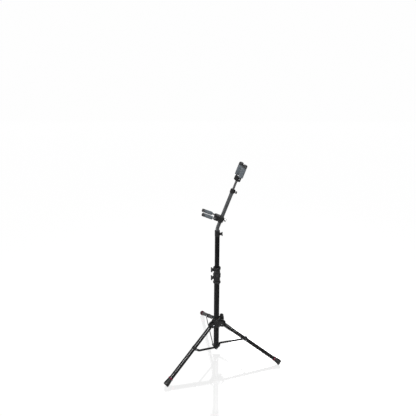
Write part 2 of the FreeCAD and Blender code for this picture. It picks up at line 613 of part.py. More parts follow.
def fork_rod():
    """Steel rod with a long flat that keeps the fork from turning."""
    length = FORK_ROD_INSET + FORK_ROD_RUN + 14.0
    bar = turned([(0, 0), (FORK_ROD_RADIUS - 1, 0), (FORK_ROD_RADIUS, 1), (FORK_ROD_RADIUS, length),
                  (0, length)])
    bar = bar.cut(Part.makeBox(4, 14, length - 20.0, V(FORK_ROD_RADIUS - 1.2, -7, 0)))
    return on_arm(bar, ARM_RUN - FORK_ROD_INSET)


def fork_prong(side):
    """Bent steel bar: out of the head, up through a bend, then straight along the arm direction."""
    corner, level = FORK_CORNER, FORK_PRONG_LEVEL
    start = 8.0
    side_axis = V(side, 0, 0)
    flat_end = FORK_HALF_SPREAD - corner
    flat = rod(PRONG_RADIUS, flat_end - start, side_axis * start + V(0, 0, level), side_axis)
    section = Part.Face(Part.Wire(Part.makeCircle(PRONG_RADIUS, V(side * flat_end, 0, level),
                                                  V(1, 0, 0))))
    bend = section.revolve(V(side * flat_end, 0, level + corner), V(0, 1, 0), -90 * side)
    upright = rod(PRONG_RADIUS, FORK_PRONG_LENGTH,
                  V(side * FORK_HALF_SPREAD, 0, level + corner), Z_AXIS)
    return fork_frame(flat.multiFuse([bend, upright]).removeSplitter())


def fork_head():
    """Moulded head that joins the rod and the two prongs."""
    block = Part.makeBox(40.0, 26.0, FORK_HEAD_HEIGHT, V(-20.0, -13.0, 0))
    block = rounded(block, 5.0, lambda edge: edge.Length < 60)
    block = block.cut(rod(FORK_ROD_RADIUS + 0.02, 14.02, V(0, 0, 0), Z_AXIS))
    for side in (-1, 1):
        block = block.cut(rod(PRONG_RADIUS + 0.02, 20, V(side * 8.0, 0, FORK_PRONG_LEVEL),
                              V(side, 0, 0)))
    return fork_frame(block)


def fork_pads_and_caps():
    pad_start = FORK_PRONG_LEVEL + FORK_CORNER + 1.0
    pad_length = FORK_PRONG_LENGTH - 12.0
    pads = []
    caps = []
    for side in (-1, 1):
        place = FreeCAD.Placement(V(side * FORK_HALF_SPREAD, 0, pad_start), FreeCAD.Rotation())
        pad = pad_sleeve(pad_length, PAD_RADIUS, PRONG_RADIUS + 0.02)
        pad.Placement = place
        cap = end_cap(PAD_RADIUS + 0.3, PRONG_RADIUS + 0.02, 11.2, 16.0)
        cap.Placement = FreeCAD.Placement(V(side * FORK_HALF_SPREAD, 0, pad_start + pad_length + 0.05),
                                          FreeCAD.Rotation())
        pads.append(fork_frame(pad))
        caps.append(fork_frame(cap))
    return pads, caps


# ---- the assembly -----------------------------------------------------------------------------
def write_tripod():
    save("bottom_spider", bottom_spider())
    save("spider_strut_bolts", *spider_bolts())
    gaps = [RUNNING_FIT, OPEN_PIN_GAP, OPEN_PIN_GAP]
    for number, (azimuth, gap) in enumerate(zip(LEG_AZIMUTHS, gaps), start=1):
        save("strut_%d" % number, spun(strut(), azimuth))
        for kind, shape in (("tube", leg_tube()), ("pivot_end", leg_pivot_end(gap)),
                            ("strut_bracket", strut_bracket()), ("strut_rivet", strut_rivet()),
                            ("foot_cap", foot_cap()), ("foot_ring", foot_ring())):
            save("leg_%d_%s" % (number, kind), spun(shape, azimuth))


def write_hub():
    level = HUB_LEVEL + HUB_KNOB_RISE
    save("hub_body", hub_body())
    save("hub_bushing", hub_bushing())
    save("hub_pivot_bolts", *hub_bolts())
    save("hub_screw_insert", threaded_insert(HUB_KNOB_AZIMUTH, level, 6.5, 4.05, 19.6, 32.5))
    save("hub_screw", radial_screw(HUB_KNOB_AZIMUTH, level, 4.0, LOWER_TUBE[0] + 0.4, 44.0))
    save("hub_knob", wing_knob(HUB_KNOB_AZIMUTH, level, 55.0, 33.0, (11.5, 19.0, 16.0, 14.0, 16.5),
                               4.0, 44.0))


def write_mast():
    lower_top = CLAMP_1_BOTTOM + CLAMP_SEAT
    middle_top = CLAMP_2_BOTTOM + CLAMP_SEAT
    save("lower_tube", pipe(LOWER_TUBE[0], LOWER_TUBE[1], lower_top - LOWER_TUBE_BOTTOM,
                            V(0, 0, LOWER_TUBE_BOTTOM), Z_AXIS))
    save("middle_tube", pipe(MIDDLE_TUBE[0], MIDDLE_TUBE[1], middle_top - MIDDLE_TUBE_BOTTOM,
                             V(0, 0, MIDDLE_TUBE_BOTTOM), Z_AXIS))
    save("upper_tube", upper_tube())
    save("middle_tube_guide", tube_guide(LOWER_TUBE[1] - RUNNING_FIT, MIDDLE_TUBE[1] - 0.03,
                                         MIDDLE_TUBE_BOTTOM, 10.5))
    save("upper_tube_guide", tube_guide(MIDDLE_TUBE[1] - RUNNING_FIT, UPPER_TUBE[1] - 0.03,
                                        UPPER_TUBE_BOTTOM, 9.0))
    for name, bottom, own, sliding in (("lower", CLAMP_1_BOTTOM, LOWER_TUBE, MIDDLE_TUBE),
                                       ("upper", CLAMP_2_BOTTOM, MIDDLE_TUBE, UPPER_TUBE)):
        screw, knob = clamp_knob_parts(bottom, sliding[0])
        save(name + "_clamp_body", clamp_body(bottom, own[0]))
        save(name + "_clamp_bushing", clamp_bushing(bottom, own[0], sliding[0]))
        save(name + "_clamp_screw", screw)
        save(name + "_clamp_knob", knob)
    save("mast_top_collar", top_collar())
    save("arm_socket_sleeve", arm_socket_sleeve())
    save("arm_lock_screw", radial_screw(TOP_KNOB_AZIMUTH, TOP_KNOB_LEVEL, PIN_RADIUS,
                                        ARM_RADIUS + 0.3, 26.0))
    save("arm_lock_knob", wing_knob(TOP_KNOB_AZIMUTH, TOP_KNOB_LEVEL, 90.0, 17.5,
                                    (6.8, 9.5, 10.0, 8.6, 7.0), PIN_RADIUS, 26.0))


def write_arm():
    save("arm_tube", arm_tube())
    save("arm_top_collar", arm_top_collar())
    save("cradle_clamp", cradle_clamp())
    save("cradle_thumb_screw",
         on_arm(thumb_screw(2.5, ARM_RADIUS + 0.3, 16.8, 8.0, 9.0), CRADLE_REACH))
    save("cradle_yoke", cradle_yoke())
    pads, caps = cradle_pads_and_caps()
    save("cradle_pads", *pads)
    save("cradle_end_caps", *caps)
    thumb = thumb_screw(2.5, FORK_ROD_RADIUS - 0.9, 15.8, 7.5, 8.5)
    thumb.translate(V(0, 0, 11.0))
    save("fork_thumb_screw", on_arm(thumb, ARM_RUN))
    save("fork_rod", fork_rod())
    save("fork_head", fork_head())
    save("fork_prongs", fork_prong(1), fork_prong(-1))
    pads, caps = fork_pads_and_caps()
    save("fork_pads", *pads)
    save("fork_end_caps", *caps)


os.makedirs("parts", exist_ok=True)
write_tripod()
write_hub()
write_mast()
write_arm()
print("hub level", round(HUB_LEVEL, 3), "strut pivot", round(STRUT_PIVOT_Z, 3),
      "leg pin", round(PIN_R, 3), round(PIN_Z, 3))
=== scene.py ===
import json
import math

import bmesh
import bpy
from mathutils import Euler, Matrix, Vector, noise


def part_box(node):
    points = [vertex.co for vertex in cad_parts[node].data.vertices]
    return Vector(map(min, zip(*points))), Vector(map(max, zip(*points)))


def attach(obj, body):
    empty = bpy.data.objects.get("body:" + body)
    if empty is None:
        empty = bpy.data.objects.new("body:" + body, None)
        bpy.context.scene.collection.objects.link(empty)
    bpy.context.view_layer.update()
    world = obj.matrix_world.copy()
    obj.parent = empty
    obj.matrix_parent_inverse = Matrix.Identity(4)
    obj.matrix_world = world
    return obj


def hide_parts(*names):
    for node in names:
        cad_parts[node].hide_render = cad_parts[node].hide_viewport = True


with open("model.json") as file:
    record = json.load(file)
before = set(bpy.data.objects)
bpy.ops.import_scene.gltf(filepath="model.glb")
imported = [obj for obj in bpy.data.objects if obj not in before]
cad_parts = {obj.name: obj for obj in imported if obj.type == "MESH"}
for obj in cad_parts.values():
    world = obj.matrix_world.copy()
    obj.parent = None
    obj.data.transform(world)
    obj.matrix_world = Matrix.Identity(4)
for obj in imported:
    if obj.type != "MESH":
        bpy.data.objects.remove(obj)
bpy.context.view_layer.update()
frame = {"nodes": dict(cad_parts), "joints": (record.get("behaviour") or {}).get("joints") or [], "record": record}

# Saxophone stand.  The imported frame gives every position; this script adds finishes, eased edges
# and the detailed foam, rubber and moulded pieces.  Metres, in the row frame.

NODES = frame["nodes"]
JOINTS = {joint["name"]: joint for joint in frame["joints"]}
SCENE = bpy.context.scene
MM = 0.001
UP = Vector((0, 0, 1))
WELD = 0.01 * MM
LEG_NUMBERS = (1, 2, 3)


# ---- reading the frame ------------------------------------------------------------------------
def joint_place(name):
    return Vector(JOINTS[name].get("pos_m", (0, 0, 0)))


def joint_axis(name):
    return Vector(JOINTS[name]["axis"]).normalized()


ARM_AXIS = joint_axis("fork_slide")
ARM_ACROSS = joint_axis("fork_screw_turn")


class Leg:
    """Directions and pivots of one leg, from its joints."""

    def __init__(self, number):
        self.number = number
        self.body = "leg_%d" % number
        self.pin = joint_place("leg_%d_swing" % number)
        self.radial = Vector((self.pin.x, self.pin.y, 0)).normalized()
        self.tangent = UP.cross(self.radial)
        hub_pivot = joint_place("hub_on_leg")
        pivot_radius = Vector((hub_pivot.x, hub_pivot.y, 0)).length
        self.pivot = self.radial * pivot_radius + UP * hub_pivot.z
        self.along = (self.pin - self.pivot).normalized()


LEGS = [Leg(number) for number in LEG_NUMBERS]


def centroid(points):
    return sum(points, Vector()) / len(points)


def solids_of(node):
    """The separate solids of a CAD node, each as a list of points, in a fixed order."""
    mesh = bmesh.new()
    mesh.from_mesh(NODES[node].data)
    bmesh.ops.remove_doubles(mesh, verts=mesh.verts, dist=WELD)
    mesh.verts.ensure_lookup_table()
    seen = [False] * len(mesh.verts)
    solids = []
    for start in range(len(mesh.verts)):
        if seen[start]:
            continue
        seen[start] = True
        front = [mesh.verts[start]]
        points = []
        while front:
            vertex = front.pop()
            points.append(vertex.co.copy())
            for edge in vertex.link_edges:
                other = edge.other_vert(vertex)
                if not seen[other.index]:
                    seen[other.index] = True
                    front.append(other)
        solids.append(points)
    mesh.free()
    solids.sort(key=lambda group: tuple(round(value, 4) for value in centroid(group)))
    return solids


def axis_frame(points, axis, side):
    """A matrix on the points' centre line, Z from their low end up the axis; length; radius."""
    z = axis.normalized()
    x = (side - side.dot(z) * z).normalized()
    y = z.cross(x)
    spans = [(min(p.dot(a) for p in points), max(p.dot(a) for p in points)) for a in (x, y, z)]
    matrix = Matrix((x, y, z)).transposed().to_4x4()
    matrix.translation = (x * sum(spans[0]) / 2 + y * sum(spans[1]) / 2 + z * spans[2][0])
    return matrix, spans[2][1] - spans[2][0], (spans[0][1] - spans[0][0]) / 2


# ---- node graphs ------------------------------------------------------------------------------
class Graph:
    """Short calls for building one material."""

    def __init__(self, name, roughness, metallic=0.0, specular=0.5):
        self.material = bpy.data.materials.new(name)
        self.material.use_nodes = True
        self.tree = self.material.node_tree
        self.shader = self.tree.nodes["Principled BSDF"]
        self.shader.inputs["Roughness"].default_value = roughness
        self.shader.inputs["Metallic"].default_value = metallic
        self.shader.inputs["Specular IOR Level"].default_value = specular
        self.place = self.tree.nodes.new("ShaderNodeTexCoord").outputs["Object"]

    def link(self, output, node, name):
        self.tree.links.new(output, node.inputs[name])

    def stretched(self, scale, offset=0.0):
        mapping = self.tree.nodes.new("ShaderNodeMapping")
        mapping.inputs["Scale"].default_value = scale
        mapping.inputs["Location"].default_value = (offset, offset * 1.7, offset * 0.6)
        self.link(self.place, mapping, "Vector")
        return mapping.outputs["Vector"]

    def noise(self, scale, detail=3.0, stretch=(1, 1, 1), offset=0.0):
        node = self.tree.nodes.new("ShaderNodeTexNoise")
        node.inputs["Scale"].default_value = scale
        node.inputs["Detail"].default_value = detail
        self.link(self.stretched(stretch, offset), node, "Vector")
        return node.outputs["Fac"]

    def cells(self, scale):
        node = self.tree.nodes.new("ShaderNodeTexVoronoi")
        node.inputs["Scale"].default_value = scale
        self.link(self.place, node, "Vector")
        return node.outputs["Distance"]

    def ramp(self, value, low, high, start=0.0, end=1.0):
        """start below low, end above high, straight between them."""
        node = self.tree.nodes.new("ShaderNodeMapRange")
        numbers = {"From Min": low, "From Max": high, "To Min": start, "To Max": end}
        for name, number in numbers.items():
            node.inputs[name].default_value = number
        self.link(value, node, "Value")
        return node.outputs["Result"]

    def times(self, a, b):
        node = self.tree.nodes.new("ShaderNodeMath")
        node.operation = "MULTIPLY"
        self.tree.links.new(a, node.inputs[0])
        self.tree.links.new(b, node.inputs[1])
        return node.outputs[0]

    def blend(self, factor, first, second):
        """A colour between two; each is a tuple or an output."""
        node = self.tree.nodes.new("ShaderNodeMix")
        node.data_type = "RGBA"
        self.tree.links.new(factor, node.inputs[0])
        for index, colour in ((6, first), (7, second)):
            if isinstance(colour, tuple):
                node.inputs[index].default_value = colour + (1.0,)
            else:
                self.tree.links.new(colour, node.inputs[index])
        return node.outputs[2]

    def edges(self, radius):
        """1 on worn edges, 0 on flats: how far a rounded normal leaves the true one."""
        soft = self.tree.nodes.new("ShaderNodeBevel")
        soft.samples = 4
        soft.inputs["Radius"].default_value = radius
        true = self.tree.nodes.new("ShaderNodeNewGeometry")
        dot = self.tree.nodes.new("ShaderNodeVectorMath")
        dot.operation = "DOT_PRODUCT"
        self.tree.links.new(soft.outputs["Normal"], dot.inputs[0])
        self.tree.links.new(true.outputs["Normal"], dot.inputs[1])
        return self.ramp(dot.outputs["Value"], 0.995, 0.9)

    def bump(self, height, distance, strength=1.0):
        node = self.tree.nodes.new("ShaderNodeBump")
        node.inputs["Strength"].default_value = strength
        node.inputs["Distance"].default_value = distance
        self.link(height, node, "Height")
        if self.shader.inputs["Normal"].is_linked:
            self.link(self.shader.inputs["Normal"].links[0].from_socket, node, "Normal")
        self.link(node.outputs["Normal"], self.shader, "Normal")

    def colour(self, output):
        self.link(output, self.shader, "Base Color")

    def roughness(self, output):
        self.link(output, self.shader, "Roughness")

    def coat(self, weight, roughness):
        self.shader.inputs["Coat Weight"].default_value = weight
        self.shader.inputs["Coat Roughness"].default_value = roughness

    def sheen(self, weight, roughness):
        self.shader.inputs["Sheen Weight"].default_value = weight
        self.shader.inputs["Sheen Roughness"].default_value = roughness


# ---- finishes ---------------------------------------------------------------------------------
def satin_black_tube():
    """Powder coat with fine grain and faint rubbing along the slides."""
    g = Graph("satin_black_tube", 0.4, specular=0.13)
    grain = g.noise(1500, 2)
    rub = g.noise(1, 4, (900, 900, 14))
    cloud = g.noise(22, 3, offset=4.0)
    g.colour(g.blend(g.ramp(cloud, 0.35, 0.65), (0.005, 0.005, 0.0055), (0.009, 0.009, 0.0095)))
    g.roughness(g.ramp(rub, 0.35, 0.72, 0.35, 0.46))
    g.bump(grain, 0.03 * MM, 0.3)
    g.bump(rub, 0.01 * MM, 0.3)
    return g.material


def gloss_black_leg():
    """Stoved enamel with slight orange peel."""
    g = Graph("gloss_black_leg", 0.3, specular=0.12)
    g.coat(0.8, 0.12)
    peel = g.noise(260, 2)
    smear = g.noise(30, 4, offset=2.0)
    g.colour(g.blend(g.ramp(smear, 0.35, 0.7), (0.004, 0.004, 0.0045), (0.008, 0.008, 0.0085)))
    g.roughness(g.ramp(smear, 0.3, 0.75, 0.22, 0.32))
    g.bump(peel, 0.008 * MM, 0.2)
    return g.material


def black_strut_steel():
    """Enamelled flat steel, rubbed to bare metal in specks along its edges."""
    g = Graph("black_strut_steel", 0.36, specular=0.22)
    worn = g.times(g.edges(0.5 * MM), g.ramp(g.noise(420, 4), 0.5, 0.62))
    cloud = g.noise(60, 3)
    paint = g.blend(g.ramp(cloud, 0.3, 0.7), (0.006, 0.006, 0.0065), (0.011, 0.011, 0.0115))
    g.colour(g.blend(worn, paint, (0.2, 0.2, 0.21)))
    g.link(worn, g.shader, "Metallic")
    g.roughness(g.ramp(cloud, 0.3, 0.75, 0.28, 0.42))
    g.bump(g.noise(600, 2), 0.03 * MM, 0.3)
    return g.material


def zinc_steel():
    """Bright zinc plating with its cloudy bloom."""
    g = Graph("zinc_steel", 0.3, metallic=1.0)
    bloom = g.noise(350, 4)
    g.colour(g.blend(g.ramp(bloom, 0.35, 0.65), (0.4, 0.41, 0.43), (0.62, 0.63, 0.66)))
    g.roughness(g.ramp(bloom, 0.3, 0.7, 0.22, 0.42))
    g.bump(g.noise(2500, 2), 0.03 * MM, 0.4)
    return g.material


def moulded_black():
    """Glass-filled nylon: spark-eroded grain, slightly paler on rubbed edges."""
    g = Graph("moulded_black", 0.44, specular=0.2)
    grain = g.noise(1100, 3)
    cloud = g.noise(45, 3, offset=7.0)
    rubbed = g.times(g.edges(0.8 * MM), g.ramp(g.noise(160, 3), 0.4, 0.65))
    body = g.blend(g.ramp(cloud, 0.3, 0.7), (0.008, 0.008, 0.0085), (0.015, 0.015, 0.0155))
    g.colour(g.blend(rubbed, body, (0.04, 0.04, 0.042)))
    g.roughness(g.ramp(cloud, 0.3, 0.75, 0.42, 0.6))
    g.bump(grain, 0.07 * MM, 0.4)
    return g.material


def knob_black():
    """Hard smooth moulding, polished where fingers turn it."""
    g = Graph("knob_black", 0.34, specular=0.3)
    touch = g.noise(120, 3)
    g.colour(g.blend(g.ramp(touch, 0.35, 0.65), (0.006, 0.006, 0.0065), (0.012, 0.012, 0.0125)))
    g.roughness(g.ramp(touch, 0.3, 0.7, 0.26, 0.46))
    g.bump(g.noise(1700, 2), 0.05 * MM, 0.4)
    return g.material


def nylon_grey():
    """Nylon, slightly translucent, coloured a dark grey that stands in for the shade on it (painted shade)."""
    g = Graph("nylon_grey", 0.42)
    cloud = g.noise(90, 3)
    g.shader.inputs["Subsurface Weight"].default_value = 0.15
    g.shader.inputs["Subsurface Scale"].default_value = 1.5 * MM
    # painted shade: the nylon's colour is darkened to a dark grey to stand in for shade
    g.colour(g.blend(g.ramp(cloud, 0.35, 0.65), (0.12, 0.12, 0.117), (0.17, 0.17, 0.165)))
    g.roughness(g.ramp(cloud, 0.3, 0.7, 0.36, 0.5))
    g.bump(g.noise(1200, 2), 0.04 * MM, 0.4)
    return g.material


def brass_insert():
    """Machined brass with turning marks."""
    g = Graph("brass_insert", 0.28, metallic=1.0)
    tarnish = g.noise(260, 4)
    g.colour(g.blend(g.ramp(tarnish, 0.35, 0.65), (0.74, 0.52, 0.2), (0.56, 0.38, 0.15)))
    g.roughness(g.ramp(tarnish, 0.3, 0.7, 0.2, 0.4))
    g.bump(g.noise(2200, 2), 0.03 * MM, 0.4)
    return g.material


def dusty_rubber(name, base, pale, roughness):
    """Rubber with fine grain and a pale dusty bloom."""
    g = Graph(name, roughness, specular=0.42)
    dust = g.ramp(g.noise(140, 5), 0.45, 0.75)
    g.colour(g.blend(dust, base, pale))
    g.roughness(g.ramp(g.noise(60, 3, offset=3.0), 0.3, 0.7, roughness - 0.08, roughness + 0.1))
    g.bump(g.noise(900, 3), 0.1 * MM, 0.6)
    return g


def foot_rubber():
    g = dusty_rubber("foot_rubber", (0.008, 0.008, 0.008), (0.02, 0.0197, 0.019), 0.46)
    return g.material


def cap_rubber():
    g = dusty_rubber("cap_rubber", (0.01, 0.01, 0.011), (0.02, 0.02, 0.021), 0.36)
    g.coat(0.15, 0.3)
    return g.material


def crimson_ring():
    """Glossy crimson moulding with flow marks."""
    g = Graph("crimson_ring", 0.26, specular=0.4)
    g.coat(0.3, 0.12)
    flow = g.noise(80, 3, (1, 1, 3))
    g.colour(g.blend(g.ramp(flow, 0.3, 0.7), (0.105, 0.008, 0.024), (0.17, 0.016, 0.042)))
    g.roughness(g.ramp(flow, 0.3, 0.7, 0.18, 0.3))
    g.bump(g.noise(500, 2), 0.04 * MM, 0.4)
    return g.material


def gunmetal_arm():
    """Dark metallic enamel with fine flake."""
    g = Graph("gunmetal_arm", 0.32, metallic=0.55, specular=0.5)
    g.coat(0.3, 0.15)
    flake = g.ramp(g.cells(2600), 0.05, 0.5)
    cloud = g.noise(35, 3)
    dark = g.blend(g.ramp(cloud, 0.3, 0.7), (0.062, 0.064, 0.068), (0.085, 0.088, 0.092))
    g.colour(g.blend(flake, (0.17, 0.175, 0.185), dark))
    g.roughness(g.ramp(cloud, 0.3, 0.7, 0.27, 0.4))
    g.bump(g.noise(300, 2), 0.05 * MM, 0.4)
    return g.material


def bright_rod():
    """Nickel plate with hairline draw marks."""
    g = Graph("bright_rod", 0.18, metallic=1.0)
    lines = g.noise(1, 4, (1800, 1800, 30))
    stain = g.noise(70, 4, offset=5.0)
    g.colour(g.blend(g.ramp(stain, 0.35, 0.7), (0.42, 0.42, 0.43), (0.33, 0.325, 0.32)))
    g.roughness(g.ramp(lines, 0.3, 0.7, 0.12, 0.26))
    g.bump(lines, 0.02 * MM, 0.5)
    return g.material


def slate_foam():
    """Closed-cell foam: open pores in the cut skin darkened as painted shade, paler high spots and a soft sheen.
    """
    g = Graph("slate_foam", 0.85, specular=0.25)
    g.sheen(0.35, 0.5)
    pores = g.cells(1150)
    mottle = g.noise(75, 5)
    fine = g.noise(650, 3, offset=2.0)
    base = g.blend(g.ramp(mottle, 0.35, 0.68), (0.062, 0.072, 0.082), (0.098, 0.112, 0.124))
    # painted shade: the colour darkens towards the bottom of each pore, where shade would fall
    g.colour(g.blend(g.ramp(pores, 0.12, 0.45), (0.034, 0.04, 0.046), base))
    g.roughness(g.ramp(fine, 0.3, 0.7, 0.76, 0.94))
    g.bump(g.ramp(pores, 0.05, 0.5), 0.3 * MM, 0.7)
    g.bump(fine, 0.12 * MM, 0.5)
    return g.material


FINISHES = (satin_black_tube, gloss_black_leg, black_strut_steel, zinc_steel, moulded_black,
            knob_black, nylon_grey, brass_insert, foot_rubber, cap_rubber, crimson_ring,
            gunmetal_arm, bright_rod, slate_foam)
MATERIALS = {finish.__name__: finish() for finish in FINISHES}

# width of the eased edge on each kind of CAD piece, in metres
EASED = {"moulded_black": 0.7 * MM, "black_strut_steel": 0.35 * MM, "zinc_steel": 0.3 * MM,
         "satin_black_tube": 0.25 * MM, "gloss_black_leg": 0.3 * MM, "gunmetal_arm": 0.3 * MM,
         "nylon_grey": 0.3 * MM, "brass_insert": 0.2 * MM, "bright_rod": 0.25 * MM}


def finish_frame():
    """Each carried-over CAD node gets its slot's finish, smooth curves and eased edges."""
    for entry in frame["record"]["subparts"]:
        node = NODES[entry["node"]]
        slot = entry["material_slot"]
        node.material_slots[0].material = MATERIALS[slot]
        mesh = node.data
        if "custom_normal" in mesh.attributes:
            mesh.attributes.remove(mesh.attributes["custom_normal"])
        mesh.shade_smooth()
        weld = node.modifiers.new("weld", "WELD")
        weld.merge_threshold = WELD
        if slot in EASED:
            bevel = node.modifiers.new("eased", "BEVEL")
            bevel.width = EASED[slot]
            bevel.segments = 2
            bevel.limit_method = "ANGLE"
            bevel.angle_limit = math.radians(32)
            bevel.use_clamp_overlap = True
            bevel.harden_normals = True


# ---- building pieces --------------------------------------------------------------------------
def eased(points, radius, closed=False):
    """The same outline with its corners rounded."""
    steps = 3
    result = []
    count = len(points)
    for index, corner in enumerate(points):
        if not closed and index in (0, count - 1):
            result.append(tuple(corner))
            continue
        here = Vector(corner)
        back = Vector(points[index - 1]) - here
        ahead = Vector(points[(index + 1) % count]) - here
        start = here + back.normalized() * min(radius, back.length * 0.45)
        end = here + ahead.normalized() * min(radius, ahead.length * 0.45)
        for step in range(steps + 1):
            t = step / steps
            result.append(tuple(start * (1 - t) ** 2 + here * 2 * t * (1 - t) + end * t * t))
    return result


def turned(mesh, profile, segments=64, warp=None, closed=False):
    """Add to mesh the (radius, height) points turned about Z; warp moves a point in or out."""
    rings = []
    for radius, height in profile:
        if radius < WELD:
            rings.append([mesh.verts.new((0, 0, height))])
            continue
        ring = []
        for step in range(segments):
            angle = 2 * math.pi * step / segments
            reach = radius + (warp(radius, height, angle) if warp else 0)
            ring.append(mesh.verts.new((reach * math.cos(angle), reach * math.sin(angle), height)))
        rings.append(ring)
    pairs = list(zip(rings, rings[1:]))
    if closed:
        pairs.append((rings[-1], rings[0]))
    for low, high in pairs:
        for step in range(segments):
            after = (step + 1) % segments
            corners = [low[step % len(low)], low[after % len(low)],
                       high[after % len(high)], high[step % len(high)]]
            unique = [v for i, v in enumerate(corners) if v not in corners[:i]]
            if len(unique) > 2:
                mesh.faces.new(unique)


def make_piece(name, mesh, matrix, body, slot, replaces=(), sharp=40):
    """Turn a bmesh into a piece that rides on a body and stands for CAD nodes."""
    bmesh.ops.recalc_face_normals(mesh, faces=mesh.faces)
    data = bpy.data.meshes.new(name)
    mesh.to_mesh(data)
    mesh.free()
    data.shade_smooth()
    data.set_sharp_from_angle(angle=math.radians(sharp))
    data.materials.append(MATERIALS[slot])
    piece = bpy.data.objects.new(name, data)
    SCENE.collection.objects.link(piece)
    piece.matrix_world = matrix
    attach(piece, body)
    if replaces:
        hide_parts(*replaces)
    return piece


# ---- foam and rubber --------------------------------------------------------------------------
PAD_EASE = 2.6 * MM                    # rounding of a foam sleeve's ends
PAD_SWELL = 0.35 * MM                  # how far the foam stands proud between its ends
PAD_DIMPLE = 0.45 * MM
SEAM_WIDTH = 0.11                      # half width of the glued seam, in radians
SEAM_DEPTH = 0.9 * MM
BORE_CLEARANCE = 0.05 * MM             # between a sleeve and what it sits on
PRONG_RADIUS = 4.5 * MM


def foam_sleeve(name, points, axis, seam_side, bore, body, node):
    """Slit foam tube: swollen between its ends, pinched under the cap, with a glued seam."""
    matrix, length, radius = axis_frame(points, axis, seam_side)
    rows = 44
    crown = radius - PAD_SWELL

    def outer(height):
        share = height / length
        swell = PAD_SWELL * math.sin(math.pi * share) ** 0.5
        pinch = 0.5 * MM * math.exp(-((share - 0.93) / 0.035) ** 2)
        return crown + swell - pinch

    profile = [(bore, length), (bore, 0)]
    for step in range(6):
        turn = math.pi / 2 * step / 5
        profile.append((outer(PAD_EASE) - PAD_EASE + PAD_EASE * math.sin(turn),
                        PAD_EASE - PAD_EASE * math.cos(turn)))
    for row in range(1, rows):
        height = PAD_EASE + (length - 2 * PAD_EASE) * row / rows
        profile.append((outer(height), height))
    for step in range(6):
        turn = math.pi / 2 * step / 5
        profile.append((outer(length - PAD_EASE) - PAD_EASE + PAD_EASE * math.cos(turn),
                        length - PAD_EASE + PAD_EASE * math.sin(turn)))

    def warp(reach, height, angle):
        if reach < radius * 0.7:
            return 0.0
        off_seam = min(angle, 2 * math.pi - angle)
        seam = -SEAM_DEPTH * math.exp(-(off_seam / SEAM_WIDTH) ** 2)
        lip = 0.2 * MM * math.exp(-((off_seam - 2.6 * SEAM_WIDTH) / SEAM_WIDTH) ** 2)
        at = Vector((math.cos(angle) * 1.4, math.sin(angle) * 1.4, height / MM / 9.0))
        return seam + lip - PAD_DIMPLE * max(0.0, noise.noise(at + Vector((radius * 900, 0, 3))))

    mesh = bmesh.new()
    turned(mesh, profile, 72, warp, closed=True)
    piece = make_piece(name, mesh, matrix, body, "slate_foam", [node], sharp=60)
    return piece


def end_cap(name, points, axis, bore, body, node):
    """Rubber end cap: a rolled lip at the mouth, two shallow rings and a domed end."""
    matrix, length, radius = axis_frame(points, axis, UP.cross(axis) + ARM_ACROSS * 0.01)
    dome = radius * 0.62
    wall = radius - 0.6 * MM
    profile = [(0, 0.68 * length), (bore, 0.68 * length), (bore, 0), (wall, 0), (radius, 0.4 * MM),
               (radius, 2.2 * MM), (wall, 2.8 * MM), (wall, 3.6 * MM), (wall - 0.35 * MM, 3.9 * MM),
               (wall - 0.35 * MM, 4.5 * MM), (wall, 4.8 * MM)]
    profile = eased(profile, 0.5 * MM)
    profile.pop()
    steps = 14
    for step in range(steps + 1):
        turn = math.pi / 2 * step / steps
        profile.append((wall * math.cos(turn) ** 0.8 if step < steps else 0.0,
                        length - dome + dome * math.sin(turn)))
    mesh = bmesh.new()
    turned(mesh, profile, 64)
    return make_piece(name, mesh, matrix, body, "cap_rubber", [node], sharp=50)


def padded_prongs():
    """The foam sleeves and end caps of the bell fork and of the lower cradle."""
    prong_bore = PRONG_RADIUS + BORE_CLEARANCE
    for body, pads, caps, axis in (("fork", "fork_pads", "fork_end_caps", ARM_AXIS),
                                   ("cradle", "cradle_pads", "cradle_end_caps", -ARM_ACROSS)):
        middle = centroid([centroid(points) for points in solids_of(pads)])
        for number, points in enumerate(solids_of(pads), start=1):
            inward = middle - centroid(points)
            foam_sleeve("%s_pad_%d" % (body, number), points, axis, -inward, prong_bore, body, pads)
        for number, points in enumerate(solids_of(caps), start=1):
            end_cap("%s_end_cap_%d" % (body, number), points, axis, prong_bore, body, caps)


# ---- feet -------------------------------------------------------------------------------------
LEG_RADIUS = 11.0 * MM
LEG_SEAT = LEG_RADIUS + BORE_CLEARANCE      # bore radius of the pieces on a leg tube
SEAT_DEPTH = 28.5 * MM                      # depth of the bore in a boot


